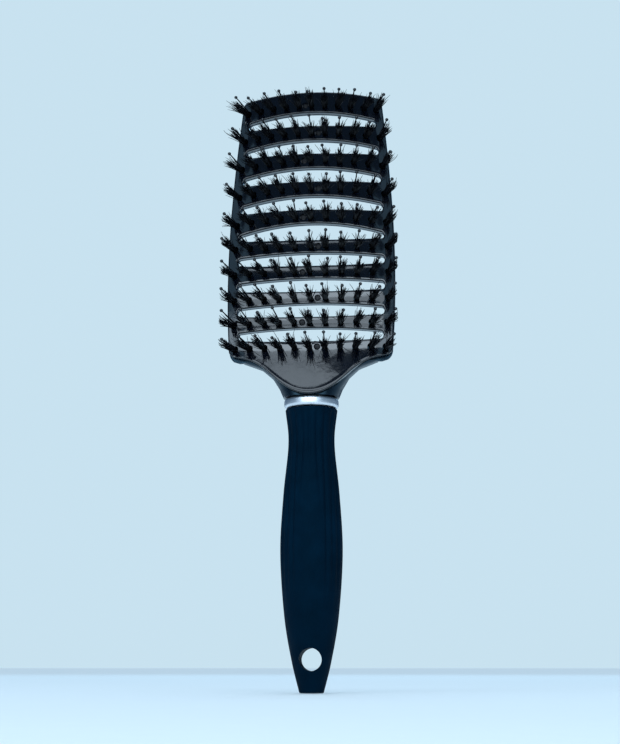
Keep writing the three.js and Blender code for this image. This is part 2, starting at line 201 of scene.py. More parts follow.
def read_rows():
    """Each bar's middle height, arch and half reach, from the wires in the frame."""
    found = []
    for i in range(BARS):
        low, high = box_mm(f"draw_wire_{i + 1:02d}")
        z = high[2] - WIRE_RADIUS + WIRE_DROP
        arch = high[2] - low[2] - 2 * WIRE_RADIUS
        found.append((z, arch if arch > 0.5 else 0.0, high[0]))
    return found


ROWS = read_rows()


def read_vents():
    """Each vent's middle height, half height and the sags of its upper and lower edges."""
    found = []
    for i in range(BARS - 1):
        height, upper, lower = ARCHED_VENT if i < 4 else TALL_VENT if i == 4 else STRAIGHT_VENT
        middle = (ROWS[i][0] + ROWS[i + 1][0]) / 2 + VENT_LIFT
        found.append((middle, height / 2, upper, lower))
    return found


VENTS = read_vents()


# ---------------------------------------------------------------- properties
class BrushSizes(bpy.types.PropertyGroup):
    """Sizes of the details that are modelled round the frame."""

    edge_round: bpy.props.FloatProperty(
        name="Edge round", description="Radius of the rounded edges of the glossy plate",
        default=0.55 * MM, unit="LENGTH", precision=5)
    bar_dish: bpy.props.FloatProperty(
        name="Bar dish", description="How far the face of each bar is hollowed at its middle",
        default=0.05 * MM, unit="LENGTH", precision=5)
    apron_rise: bpy.props.FloatProperty(
        name="Apron rise", description="How far the tip of the pointed foot stands forward",
        default=1.6 * MM, unit="LENGTH", precision=5)
    bristles: bpy.props.IntProperty(
        name="Bristles", description="Boar bristles in each tuft", default=62, min=8)
    bristle_length: bpy.props.FloatProperty(
        name="Bristle length", description="Mean length of a boar bristle above the face",
        default=11.2 * MM, unit="LENGTH", precision=5)
    bristle_radius: bpy.props.FloatProperty(
        name="Bristle radius", description="Radius of one boar bristle at its root",
        default=0.135 * MM, unit="LENGTH", precision=6)
    pin_length: bpy.props.FloatProperty(
        name="Pin length", description="Length of a nylon pin above the face, with its ball",
        default=13.0 * MM, unit="LENGTH", precision=5)
    pin_radius: bpy.props.FloatProperty(
        name="Pin radius", description="Radius of a nylon pin",
        default=0.3 * MM, unit="LENGTH", precision=5)
    ball_radius: bpy.props.FloatProperty(
        name="Ball radius", description="Radius of the ball on a pin",
        default=0.68 * MM, unit="LENGTH", precision=5)
    flute_depth: bpy.props.FloatProperty(
        name="Flute depth", description="Depth of the handle's flutes",
        default=0.5 * MM, unit="LENGTH", precision=5)
    seed: bpy.props.IntProperty(
        name="Seed", description="Seed of the bristles' small differences", default=7)


class BrushColours(bpy.types.PropertyGroup):
    """Colours of the finishes. The dark plastics, bristles and pins are black with a painted blue cast that
    stands in for blue bounce light.
    """

    gloss: bpy.props.FloatVectorProperty(
        name="Gloss plate", description="Colour of the glossy plate", subtype="COLOR", size=3,
        default=(0.0011, 0.0019, 0.0045))
    shell: bpy.props.FloatVectorProperty(
        name="Back shell", description="Colour of the satin back shell", subtype="COLOR", size=3,
        default=(0.0014, 0.0030, 0.0070))
    # The grip's colour is near-black with a strong painted blue-teal cast, standing in for blue bounce light
    # on the handle.
    grip: bpy.props.FloatVectorProperty(
        name="Grip", description="Colour of the soft-touch handle", subtype="COLOR", size=3,
        default=(0.0003, 0.0080, 0.0190))
    bristle: bpy.props.FloatVectorProperty(
        name="Bristle", description="Colour of the bristles and pins", subtype="COLOR", size=3,
        default=(0.0016, 0.0022, 0.0045))
    silver: bpy.props.FloatVectorProperty(
        name="Silver", description="Colour of the ring", subtype="COLOR", size=3,
        default=(0.80, 0.83, 0.87))
    floor: bpy.props.FloatVectorProperty(
        name="Floor", description="Colour of the floor", subtype="COLOR", size=3,
        default=(0.70, 0.72, 0.73))


def colours():
    """The colours set in the scene."""
    return bpy.context.scene.brush_colours


# ---------------------------------------------------------------- materials
def node_material(name):
    """A new node material with its shader, and the object coordinates for its patterns."""
    material = bpy.data.materials.new(name)
    material.use_nodes = True
    nodes = material.node_tree.nodes
    shader = nodes["Principled BSDF"]
    coordinates = nodes.new("ShaderNodeTexCoord")
    return material, shader, coordinates


def noise_between(material, coordinates, scale, low, high, detail=3.0):
    """A noise pattern mapped between two values."""
    nodes, links = material.node_tree.nodes, material.node_tree.links
    noise = nodes.new("ShaderNodeTexNoise")
    noise.inputs["Scale"].default_value = scale
    noise.inputs["Detail"].default_value = detail
    links.new(coordinates.outputs["Object"], noise.inputs["Vector"])
    spread = nodes.new("ShaderNodeMapRange")
    spread.inputs["From Min"].default_value = 0.3
    spread.inputs["From Max"].default_value = 0.7
    spread.inputs["To Min"].default_value = low
    spread.inputs["To Max"].default_value = high
    links.new(noise.outputs["Fac"], spread.inputs["Value"])
    return spread.outputs["Result"]


def add_colour(material, shader, coordinates, colour, scale, change):
    """A base colour that varies a little over the surface."""
    nodes, links = material.node_tree.nodes, material.node_tree.links
    mix = nodes.new("ShaderNodeMix")
    mix.data_type = "RGBA"
    mix.inputs["A"].default_value = (*[c * (1 - change) for c in colour], 1)
    mix.inputs["B"].default_value = (*[c * (1 + change) for c in colour], 1)
    links.new(noise_between(material, coordinates, scale, 0.0, 1.0), mix.inputs["Factor"])
    links.new(mix.outputs["Result"], shader.inputs["Base Color"])


def add_bump(material, shader, coordinates, scale, distance, strength=1.0):
    """A fine surface grain."""
    nodes, links = material.node_tree.nodes, material.node_tree.links
    bump = nodes.new("ShaderNodeBump")
    bump.inputs["Strength"].default_value = strength
    bump.inputs["Distance"].default_value = distance
    links.new(noise_between(material, coordinates, scale, 0.0, 1.0, 2.0), bump.inputs["Height"])
    links.new(bump.outputs["Normal"], shader.inputs["Normal"])


def finish(name, colour, roughness, spread, grain, depth, metallic=0.0, specular=0.5,
           tint=(1.0, 1.0, 1.0), change=0.22):
    """A finish with varied colour and roughness and a fine grain; grain is in bumps per metre."""
    material, shader, coordinates = node_material(name)
    add_colour(material, shader, coordinates, colour, 90.0, change)
    links = material.node_tree.links
    value = noise_between(material, coordinates, 260.0, roughness - spread, roughness + spread)
    links.new(value, shader.inputs["Roughness"])
    add_bump(material, shader, coordinates, grain, depth)
    shader.inputs["Metallic"].default_value = metallic
    shader.inputs["Specular IOR Level"].default_value = specular
    shader.inputs["Specular Tint"].default_value = (*tint, 1)
    return material


def gloss_finish():
    return finish("moulded_gloss", colours().gloss, 0.06, 0.015, 420.0, 0.000003, specular=0.6)


def shell_finish():
    # The blue specular tint is a painted reflection colour, standing in for blue bounce light on the satin
    # shell.
    return finish("moulded_satin", colours().shell, 0.28, 0.04, 2600.0, 0.000008, tint=(0.4, 0.75, 1.0))


def grip_finish():
    # The blue specular tint is a painted reflection colour, standing in for blue bounce light on the grip.
    return finish("soft_touch", colours().grip, 0.60, 0.05, 5200.0, 0.00003, specular=0.05,
                  tint=(0.2, 0.7, 1.0))


def bristle_finish():
    return finish("boar_bristle", colours().bristle, 0.45, 0.08, 3000.0, 0.00001, specular=0.15)


def pin_finish():
    return finish("black_nylon", colours().bristle, 0.16, 0.03, 2500.0, 0.000004)


def silver_finish():
    """Satin silver with fine lines round the ring."""
    material, shader, coordinates = node_material("satin_silver")
    nodes, links = material.node_tree.nodes, material.node_tree.links
    add_colour(material, shader, coordinates, colours().silver, 300.0, 0.04)
    stretch = nodes.new("ShaderNodeMapping")
    stretch.inputs["Scale"].default_value = (60.0, 60.0, 9000.0)
    links.new(coordinates.outputs["Object"], stretch.inputs["Vector"])
    lines = nodes.new("ShaderNodeTexNoise")
    lines.inputs["Scale"].default_value = 1.0
    links.new(stretch.outputs["Vector"], lines.inputs["Vector"])
    bump = nodes.new("ShaderNodeBump")
    bump.inputs["Distance"].default_value = 0.000006
    links.new(lines.outputs["Fac"], bump.inputs["Height"])
    links.new(bump.outputs["Normal"], shader.inputs["Normal"])
    links.new(noise_between(material, coordinates, 400.0, 0.36, 0.46), shader.inputs["Roughness"])
    shader.inputs["Metallic"].default_value = 1.0
    return material


# ---------------------------------------------------------------- meshes
def smooth(mesh, angle=35.0):
    """Smooth shading but for edges sharper than an angle in degrees."""
    mesh.shade_smooth()
    mesh.set_sharp_from_angle(angle=math.radians(angle))


def new_object(name, mesh, material, smooth_angle=35.0):
    """A linked object whose mesh is smooth but for its sharp edges."""
    mesh.materials.clear()
    mesh.materials.append(material)
    smooth(mesh, smooth_angle)
    piece = bpy.data.objects.new(name, mesh)
    bpy.context.scene.collection.objects.link(piece)
    return piece


def mesh_of(name, vertices_mm, faces, weld=1e-7):
    """A mesh from points in millimetres, with its faces turned outwards."""
    mesh = bpy.data.meshes.new(name)
    mesh.from_pydata([tuple(v) for v in np.asarray(vertices_mm) * MM], [], faces)
    bm = bmesh.new()
    bm.from_mesh(mesh)
    bmesh.ops.remove_doubles(bm, verts=bm.verts, dist=weld)
    bmesh.ops.recalc_face_normals(bm, faces=bm.faces)
    bm.to_mesh(mesh)
    bm.free()
    return mesh


def stands_for(piece, slot_name, *nodes):
    """The piece rides with the brush and hides the nodes that it stands for; its slot name is not used."""
    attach(piece, "root")
    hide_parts(*nodes)


def apply_modifiers(piece):
    """Bakes the modifiers into the mesh."""
    graph = bpy.context.evaluated_depsgraph_get()
    done = bpy.data.meshes.new_from_object(piece.evaluated_get(graph))
    old = piece.data
    piece.modifiers.clear()
    piece.data = done
    bpy.data.meshes.remove(old)


def combine_objects(piece, other, operation):
    """Unites a piece with another object or cuts it away, and removes the other."""
    change = piece.modifiers.new(operation, "BOOLEAN")
    change.operation = operation
    change.solver = "MANIFOLD"
    change.object = other
    apply_modifiers(piece)
    mesh = other.data
    bpy.data.objects.remove(other)
    bpy.data.meshes.remove(mesh)


def combine(piece, vertices_mm, faces, operation):
    """The same with a closed shape in millimetres."""
    other = bpy.data.objects.new("cutter", mesh_of("cutter", vertices_mm, faces))
    bpy.context.scene.collection.objects.link(other)
    combine_objects(piece, other, operation)


def subtract(piece, vertices_mm, faces):
    """Cuts a closed shape in millimetres out of a piece."""
    combine(piece, vertices_mm, faces, "DIFFERENCE")


def merge(parts):
    """Joins (vertices, faces) pairs into one."""
    vertices, faces, start = [], [], 0
    for part_vertices, part_faces in parts:
        vertices.append(np.asarray(part_vertices, float))
        faces += [tuple(i + start for i in face) for face in part_faces]
        start += len(part_vertices)
    return np.concatenate(vertices), faces


def lathe(profile, segments):
    """Turns (radius, height) points about Z. A point on the axis closes the shape there."""
    angles = np.linspace(0, 2 * math.pi, segments, endpoint=False)
    vertices, rings = [], []
    for radius, height in profile:
        if radius < 1e-9:
            rings.append([len(vertices)])
            vertices.append((0.0, 0.0, height))
            continue
        rings.append(list(range(len(vertices), len(vertices) + segments)))
        vertices += [(radius * math.cos(a), radius * math.sin(a), height) for a in angles]
    faces = []
    for lower, upper in zip(rings, rings[1:]):
        for i in range(segments):
            j = (i + 1) % segments
            if len(lower) == 1 and len(upper) > 1:
                faces.append((lower[0], upper[j], upper[i]))
            elif len(upper) == 1 and len(lower) > 1:
                faces.append((lower[i], lower[j], upper[0]))
            elif len(lower) > 1:
                faces.append((lower[i], lower[j], upper[j], upper[i]))
    return np.array(vertices), faces


def loft(rings):
    """A closed shape through rings that have the same number of points."""
    count = len(rings[0])
    vertices = [point for ring in rings for point in ring]
    faces = []
    for i in range(len(rings) - 1):
        for k in range(count):
            a, b = i * count + k, i * count + (k + 1) % count
            faces.append((a, b, b + count, a + count))
    faces.append(tuple(reversed(range(count))))
    faces.append(tuple(range(len(vertices) - count, len(vertices))))
    return vertices, faces


def ramp(value, low, high):
    """Runs from 0 at one value to 1 at another, and stays there."""
    return np.clip((value - low) / (high - low), 0, 1)


def ease(value, low, high):
    """The same with a gentle start and end."""
    t = ramp(value, low, high)
    return t * t * (3 - 2 * t)


def basis(direction):
    """Two unit vectors square to a direction: sideways, and up the brush."""
    direction = np.asarray(direction, float)
    side = np.cross(direction, (0.0, 0.0, 1.0))
    side /= np.linalg.norm(side)
    return side, np.cross(side, direction)


def along(shape, start, direction, wide=1.0, high=1.0):
    """Places a shape turned about Z so that its height runs along a direction."""
    vertices, faces = shape
    side, up = basis(direction)
    placed = (
        np.asarray(start)
        + vertices[:, :1] * wide * side
        + vertices[:, 1:2] * high * up
        + vertices[:, 2:] * np.asarray(direction)
    )
    return placed, faces


def strands(paths, radii, sides):
    """Closed thin tubes along many paths at once, each with its own radii."""
    count, points, _ = paths.shape
    tangent = np.gradient(paths, axis=1)
    tangent /= np.linalg.norm(tangent, axis=2, keepdims=True)
    side = np.cross(tangent, np.array([0.0, 0.0, 1.0]))
    side /= np.linalg.norm(side, axis=2, keepdims=True)
    up = np.cross(side, tangent)
    angle = np.arange(sides) * 2 * math.pi / sides
    ring = side[:, :, None] * np.cos(angle)[:, None] + up[:, :, None] * np.sin(angle)[:, None]
    vertices = (paths[:, :, None] + ring * radii[:, :, None, None]).reshape(-1, 3)
    faces = []
    for s in range(count):
        first = s * points * sides
        for p in range(points - 1):
            for k in range(sides):
                a = first + p * sides + k
                b = first + p * sides + (k + 1) % sides
                faces.append((a, a + sides, b + sides, b))
        faces.append(tuple(first + k for k in range(sides)))
        last = first + (points - 1) * sides
        faces.append(tuple(last + k for k in reversed(range(sides))))
    return vertices, faces


# ---------------------------------------------------------------- the head's outline
def bezier(p0, p1, p2, p3, steps=40):
    """Points along a curve with four control points."""
    t = np.linspace(0, 1, steps)[:, None]
    p0, p1, p2, p3 = (np.array(p, float) for p in (p0, p1, p2, p3))
    return (1 - t) ** 3 * p0 + 3 * (1 - t) ** 2 * t * p1 + 3 * (1 - t) * t**2 * p2 + t**3 * p3


CORNER_Z = HEAD_TOP - CORNER_DROP
SIDE = bezier((CORNER_X, CORNER_Z), (33.0, 206.0), (35.6, 170.0), (SIDE_FOOT_X, SIDE_FOOT_Z), 80)
TIP_Z = PLATE_LOW[2]
PLATE_EDGE = np.concatenate([
    bezier((0, TIP_Z), (4.5, TIP_Z), (8, TIP_Z + 1.9), (12, TIP_Z + 5.3)),
    bezier((12, TIP_Z + 5.3), (16.5, TIP_Z + 9.1), (20, PLATE_FOOT_Z - 1.8), (FOOT_X, PLATE_FOOT_Z)),
])


def half_width(z, foot_z):
    """Half the head's width at a height, with its round corners."""
    z = np.asarray(z, float)
    width = np.interp(z, SIDE[::-1, 1], SIDE[::-1, 0])
    into_top = np.clip((z - (CORNER_Z - CORNER_ROUND)) / CORNER_ROUND, 0, 1)
    width = np.where(into_top > 0, CORNER_X - CORNER_ROUND + CORNER_ROUND * np.sqrt(1 - into_top**2), width)
    into_foot = np.clip((SIDE_FOOT_Z - z) / (SIDE_FOOT_Z - foot_z), 0, 1)
    foot = FOOT_X + (SIDE_FOOT_X - FOOT_X) * np.sqrt(1 - into_foot**2)
    return np.where(into_foot > 0, foot, width)


def top_edge(x):
    """Height of the head's arched top."""
    return HEAD_TOP - CORNER_DROP * (x / (CORNER_X - CORNER_ROUND)) ** 2


def vent_edges(vent, s):
    """Upper and lower edge of a vent at a share of the head's half width."""
    z, half, upper, lower = vent
    a = np.abs(s) / VENT_SHARE
    middle = z - (upper + lower) / 2 * a**2
    gap = half - (upper - lower) / 2 * a**2
    into_end = np.clip((a - (1 - VENT_END)) / VENT_END, 0, 1)
    gap = gap * np.sqrt(1 - into_end**2)
    return middle + gap, middle - gap


def head_columns():
    """Shares of the half width for the grid's columns, close together where vents end."""
    inner = VENT_SHARE * (1 - VENT_END)
    ends = inner + (VENT_SHARE - inner) * np.sin(np.linspace(0, math.pi / 2, 7))
    half = np.concatenate([np.linspace(0, inner, 45)[:-1], ends, np.linspace(VENT_SHARE, 1, 7)[1:]])
    return np.concatenate([-half[:0:-1], half])


def scoop(z, rise):
    """How far the apron below the last bar stands forward, most at its tip."""
    down = np.clip((APRON_TOP - z) / (APRON_TOP - PLATE_LOW[2]), 0, 1)
    return -rise * down**1.5


def head_grid(foot_z, foot_edge, steps, dish, apron):
    """The head's face as a flat grid with open vents."""
    s = head_columns()
    edges = []
    x = s * CORNER_X
    for _ in range(4):
        x = s * half_width(top_edge(x), foot_z)
    upper = top_edge(x)
    for vent in VENTS:
        high, low = vent_edges(vent, s)
        edges.append((upper, high))
        upper = low
    edges.append((upper, foot_edge(s)))
    parts = []
    for bar, (top, bottom) in enumerate(edges):
        rows = steps * 2 if bar in (0, BARS - 1) else steps
        t = np.linspace(0, 1, rows + 1)[:, None]
        z = top * (1 - t) + bottom * t
        x = s * half_width(z, foot_z)
        inside = np.clip((VENT_SHARE - np.abs(s)) / BAR_FADE, 0, 1)
        hollow = np.sin(math.pi * t) * inside * (0.0 if bar == BARS - 1 else 1.0)
        points = np.stack([x, dish * hollow + scoop(z, apron), z], axis=2).reshape(-1, 3)
        count = len(s)
        faces = []
        for r in range(rows):
            for c in range(count - 1):
                a = r * count + c
                faces.append((a, a + count, a + count + 1, a + 1))
        parts.append((points, faces))
    return merge(parts)


def outward(before, after):
    """Unit vector in the plane of X and Z, to the right of the way from one point to another."""
    way = after - before
    return Vector((way.z, 0, -way.x)).normalized()


def boundary_loops(bm):
    """The grid's open edges as ordered rings, with the material on the left of each."""
    following = {}
    for edge in bm.edges:
        if edge.is_boundary:
            loop = edge.link_loops[0]
            following[loop.vert] = loop.link_loop_next.vert
    rings = []
    while following:
        vert = next(iter(following))
        ring = []
        while vert in following:
            ring.append(vert)
            vert = following.pop(vert)
        rings.append(ring)
    return rings


def round_edge(bm, ring, far, near_round, far_round, back_of):
    """Joins a front ring to its back ring with round edges and a straight wall."""
    count = len(ring)
    normals = [outward(ring[i - 1].co, ring[(i + 1) % count].co) for i in range(count)]
    nominal = [vert.co.copy() for vert in ring]
    for vert, normal in zip(ring, normals):
        vert.co -= normal * near_round
        back_of[vert].co -= normal * far_round
    rows = [ring]
    for angle in np.linspace(0, math.pi / 2, 6)[1:]:
        inset, depth = near_round * (1 - math.sin(angle)), near_round * (1 - math.cos(angle))
        level = Vector((0, depth, 0))
        rows.append([bm.verts.new(p - n * inset + level) for p, n in zip(nominal, normals)])
    for angle in np.linspace(0, math.pi / 2, 5)[:-1]:
        inset, depth = far_round * (1 - math.cos(angle)), far - far_round * (1 - math.sin(angle))
        rows.append([
            bm.verts.new((p.x - n.x * inset, depth, p.z - n.z * inset)) for p, n in zip(nominal, normals)
        ])
    rows.append([back_of[vert] for vert in ring])
    for here, there in zip(rows, rows[1:]):
        for i in range(count):
            j = (i + 1) % count
            bm.faces.new([here[j], here[i], there[i], there[j]])


def moulded_plate(name, grid, near, far, near_round, far_round):
    """A plate from a flat grid: round edges, walls and a back, then leaned and crowned."""
    vertices, faces = grid
    bm = bmesh.new()
    verts = [bm.verts.new(v) for v in vertices]
    for face in faces:
        bm.faces.new([verts[i] for i in face])
    bmesh.ops.remove_doubles(bm, verts=bm.verts, dist=WELD)
    front = list(bm.faces)
    rings = boundary_loops(bm)
    back_of = {vert: None for vert in bm.verts}
    for vert in back_of:
        back_of[vert] = bm.verts.new((vert.co.x, far, vert.co.z))
        vert.co.y += near
    for ring in rings:
        round_edge(bm, ring, far, near_round, far_round, back_of)
    for face in front:
        bm.faces.new([back_of[v] for v in reversed(face.verts)])
    for vert in bm.verts:
        vert.co.y += face_y(vert.co.x, vert.co.z)
        vert.co *= MM
    bmesh.ops.recalc_face_normals(bm, faces=bm.faces)
    mesh = bpy.data.meshes.new(name)
    bm.to_mesh(mesh)
    bm.free()
    return mesh


# ---------------------------------------------------------------- places on the rows
def row_point(row, x, lift, depth=0.0):
    """A point at a height above or below a row's arched middle, at a depth below the face."""
    z, arch, reach = row
    height = z - arch * (x / reach) ** 2 + lift
    return np.array([x, face_y(x, height) + depth, height])


def tuft_places(row):
    """X and direction of each tuft of a row."""
    for share in np.linspace(-1, 1, TUFTS):
        splay = SPLAY * share
        direction = np.array([math.sin(splay), -math.cos(splay), math.tan(TILT)])
        yield share * row[2], direction / np.linalg.norm(direction)


def rivet_point(index):
    """Where a rivet sits on the face, by turns left and right of the middle."""
    row = ROWS[index]
    half = row[2] / (TUFTS - 1)
    return row_point(row, half if index % 2 else -half, RIVET_LIFT)


def channel(row):
    """The slot behind a bar that its wire and folded tufts lie in."""
    reach = row[2] + CHANNEL_OVERHANG
    corners = ((CHANNEL_LOW, CHANNEL_NEAR), (CHANNEL_LOW, CHANNEL_FAR),
               (CHANNEL_HIGH, CHANNEL_FAR), (CHANNEL_HIGH, CHANNEL_NEAR))
    stations = np.linspace(-reach, reach, 25)
    return loft([[row_point(row, x, *corner) for corner in corners] for x in stations])


def tuft_hole(row, x, direction):
    """An oval hole along a tuft."""
    shape = lathe([(0, -HOLE_BEHIND), (1, -HOLE_BEHIND), (1, HOLE_BEFORE), (0, HOLE_BEFORE)], 18)
    return along(shape, row_point(row, x, HOLE_LIFT), direction, HOLE_HALF_WIDTH, HOLE_HALF_HEIGHT)


def rivet_hole(index):
    """A rivet's bore with its round seat."""
    profile = [(0, -RIVET_BORE_DEPTH), (RIVET_BORE_RADIUS, -RIVET_BORE_DEPTH)]
    profile += [(RIVET_BORE_RADIUS, -RIVET_SEAT_DEPTH), (RIVET_SEAT_RADIUS, -RIVET_SEAT_DEPTH)]
    profile += [(RIVET_SEAT_RADIUS, RIVET_CLEAR), (0, RIVET_CLEAR)]
    return along(lathe(profile, 32), rivet_point(index), OUTWARD)


# ---------------------------------------------------------------- the pieces
def build_front_plate(size):
    """Glossy plate with nine vents, 110 tuft holes and ten rivet seats."""
    grid = head_grid(PLATE_FOOT_Z, plate_foot, 6, size.bar_dish / MM, size.apron_rise / MM)
    edge = size.edge_round / MM
    mesh = moulded_plate("front_plate", grid, 0.0, FRONT_THICKNESS, edge, PLATE_BACK_ROUND)
    piece = new_object("front_plate", mesh, gloss_finish())
    subtract(piece, *merge([channel(row) for row in ROWS]))
    holes = [tuft_hole(row, x, d) for row in ROWS for x, d in tuft_places(row)]
    subtract(piece, *merge(holes + [rivet_hole(i) for i in range(BARS)]))
    smooth(piece.data)
    stands_for(piece, "head_gloss", "head_front_plate")


def plate_foot(s):
    """Height of the plate's pointed foot at a share of its half width."""
    return np.interp(np.abs(s) * FOOT_X, PLATE_EDGE[:, 0], PLATE_EDGE[:, 1])


def shell_foot(s):
    """Height of the shell's straight foot."""
    return np.full_like(s, HEAD_FOOT_Z)


def neck_ring(z, start, segments=48):
    """One level of the neck: flat in front, round at the sides and back."""
    reach = np.interp(z, NECK_FLARE[:, 1], NECK_FLARE[:, 0])
    back = np.interp(z, NECK_BACK[:, 1], NECK_BACK[:, 0])
    middle = ease(z, NECK_SHIFT_LOW, NECK_SHIFT_HIGH) * NECK_SHIFT
    back = max(back, face_y(0, z) + SHELL_FAR - NECK_OVERLAP)
    front = face_y(0, z) + start
    angle = np.linspace(0, 2 * math.pi, 2 * segments, endpoint=False)
    rear_fullness = BACK_FULLNESS + TOP_FULLNESS * ramp(z, NECK_SHIFT_LOW, NECK_SHIFT_HIGH)
    fullness = np.where(np.sin(angle) < 0, 2 / FRONT_FULLNESS, 2 / rear_fullness)
    x = reach * np.sign(np.cos(angle)) * np.abs(np.cos(angle)) ** fullness
    depth = np.where(np.sin(angle) < 0, front - middle, back - middle)
    y = middle + depth * np.abs(np.sin(angle)) ** fullness
    return [(px, py, z) for px, py in zip(x, y)]


def neck():
    """The neck between the head and the ring, as one closed shape."""
    levels = [(z, NECK_START) for z in np.linspace(RING_HIGH[2] + 0.3, HEAD_FOOT_Z, 22)]
    upper = np.linspace(HEAD_FOOT_Z + 0.01, NECK_BACK[-1, 1], 12)
    levels += [(z, SHELL_NEAR + NECK_JOIN) for z in upper]
    return loft([neck_ring(z, start) for z, start in levels])


def plate_pocket():
    """The seat of the front plate's pointed foot, a little wider than the foot."""
    near, far, top = POCKET_FRONT, FRONT_THICKNESS + POCKET_EXTRA_DEPTH, POCKET_TOP
    wide = FOOT_X + POCKET_GAP
    sections = []
    for x in np.concatenate([[-POCKET_REACH], np.linspace(-wide, wide, 81), [POCKET_REACH]]):
        low = plate_foot(np.clip(x / wide, -1, 1)) - POCKET_GAP
        corners = ((low, near), (low, far), (top, far), (top, near))
        sections.append([(x, face_y(x, z) + depth, z) for z, depth in corners])
    return loft(sections)


def unite(piece, vertices_mm, faces):
    """Adds a closed shape in millimetres to a piece."""
    combine(piece, vertices_mm, faces, "UNION")


def build_back_shell():
    """Satin shell behind the plate, with the neck and the spigot that the ring sits on."""
    grid = head_grid(HEAD_FOOT_Z, shell_foot, 6, 0.0, 0.0)
    mesh = moulded_plate("back_shell", grid, SHELL_NEAR, SHELL_FAR, SHELL_FRONT_ROUND, SHELL_BACK_ROUND)
    piece = new_object("back_shell", mesh, shell_finish())
    core = new_object("neck", mesh_of("neck", *neck()), shell_finish())
    subtract(core, *plate_pocket())
    low = RING_LOW[2] + SPIGOT_GAP
    spigot = [(0, low), (SPIGOT_RADIUS, low), (SPIGOT_RADIUS, SPIGOT_TOP), (0, SPIGOT_TOP)]
    unite(core, *lathe(spigot, 96))
    combine_objects(piece, core, "UNION")
    subtract(piece, *merge([rivet_hole(i) for i in range(BARS)]))
    smooth(piece.data, 32)
    stands_for(piece, "shell_satin", "head_back_shell")


def bounded(rand, count):
    """Normally spread numbers without their far ends."""
    return np.clip(rand.standard_normal(count), -FAR_END, FAR_END)


def bundle_paths(row, x, direction, size, rand):
    """Centre lines and radii of one tuft's bristles."""
    count = size.bristles
    side, up = basis(direction)
    around = rand.random(count) * 2 * math.pi
    out = np.sqrt(rand.random(count))
    root = row_point(row, x, TUFT_LIFT, TUFT_BURIED)
    spread_side = out * np.cos(around)
    spread_up = out * np.sin(around)
    stray = rand.random(count) < STRAY_SHARE
    share = BRISTLE_SHORTEST + BRISTLE_SPREAD * rand.random(count)
    length = size.bristle_length / MM * share * np.where(stray, STRAY_LENGTH, 1.0)
    lean_side = TUFT_FLARE * spread_side + BRISTLE_LEAN * bounded(rand, count) * np.where(stray, 2.3, 1.0)
    lean_up = TUFT_FLARE * spread_up + BRISTLE_LEAN * bounded(rand, count) * np.where(stray, 2.0, 1.0)
    bend_side = BRISTLE_BEND * bounded(rand, count) * np.where(stray, 2.5, 1.0)
    bend_up = BRISTLE_BEND * bounded(rand, count) * np.where(stray, 2.0, 1.0) - BRISTLE_DROOP
    whole = bounded(rand, 2) * TUFT_LEAN
    t = BRISTLE_STATIONS
    reach = (length + TUFT_BURIED)[:, None] * t
    aside = (TUFT_RADIUS * spread_side)[:, None] + (lean_side + whole[0])[:, None] * reach
    aside = aside + bend_side[:, None] * length[:, None] * (t**2)
    above = (TUFT_RADIUS * spread_up)[:, None] + (lean_up + whole[1])[:, None] * reach
    above = above + bend_up[:, None] * length[:, None] * (t**2)
    paths = root + reach[:, :, None] * direction + aside[:, :, None] * side + above[:, :, None] * up
    # The outermost bristles are reined in, so that the rows end in one line
    over = np.abs(paths[:, :, 0]) - OUTER_BRISTLE
    paths[:, :, 0] -= np.sign(paths[:, :, 0]) * np.clip(over, 0, None) * REIN
    radii = size.bristle_radius / MM * BRISTLE_TAPER * np.ones((count, 1))
    return paths, radii


def build_boar_row(index, size, material):
    """Eleven bundles of frayed boar bristle."""
    rand = np.random.default_rng(size.seed * 100 + index)
    found = [bundle_paths(ROWS[index], x, d, size, rand) for x, d in tuft_places(ROWS[index])]
    paths = np.concatenate([p for p, _ in found])
    radii = np.concatenate([r for _, r in found])
    name = f"boar_row_{index + 1:02d}"
    piece = new_object(name, mesh_of(name, *strands(paths, radii, 3)), material, 180)
    stands_for(piece, "boar_bristle", f"boar_tuft_row_{index + 1:02d}")


def pin_shape(size):
    """A nylon pin with its ball, standing on Z."""
    ball, radius = size.ball_radius / MM, size.pin_radius / MM
    top = size.pin_length / MM
    middle = top - ball
    begin = math.asin(0.75 * radius / ball)
    profile = [(0, -PIN_BURIED), (radius, -PIN_BURIED), (radius, 1.0), (radius * 0.9, middle * 0.5)]
    for angle in np.linspace(begin, math.pi, 9):
        profile.append((ball * math.sin(angle), middle - ball * math.cos(angle)))
    profile[-1] = (0, top)
    return lathe(profile, 12)


def build_pin_row(index, size, material):
    """Eleven ball-tipped pins, each leaning its own way a little."""
    rand = np.random.default_rng(size.seed * 100 + 50 + index)
    shape = pin_shape(size)
    parts = []
    for x, direction in tuft_places(ROWS[index]):
        free = PIN_LEAN if abs(x) < 0.9 * ROWS[index][2] else OUTER_PIN_LEAN
        lean = direction + np.array([free, 0, PIN_LEAN]) * bounded(rand, 3) + np.array([0, 0, PIN_RISE])
        parts.append(along(shape, row_point(ROWS[index], x, PIN_LIFT), lean / np.linalg.norm(lean)))
    name = f"pin_row_{index + 1:02d}"
    piece = new_object(name, mesh_of(name, *merge(parts)), material, 40)
    stands_for(piece, "nylon_pin", f"ball_pin_row_{index + 1:02d}")


def build_rivet(index, material):
    """A rivet with a slightly domed head, set in its seat."""
    name = f"rivet_{index + 1:02d}"
    shape = along(lathe(RIVET_SHANK + RIVET_HEAD, 32), rivet_point(index), OUTWARD)
    piece = new_object(name, mesh_of(name, *shape), material, 40)
    stands_for(piece, "rivet", f"plate_rivet_{index + 1:02d}")


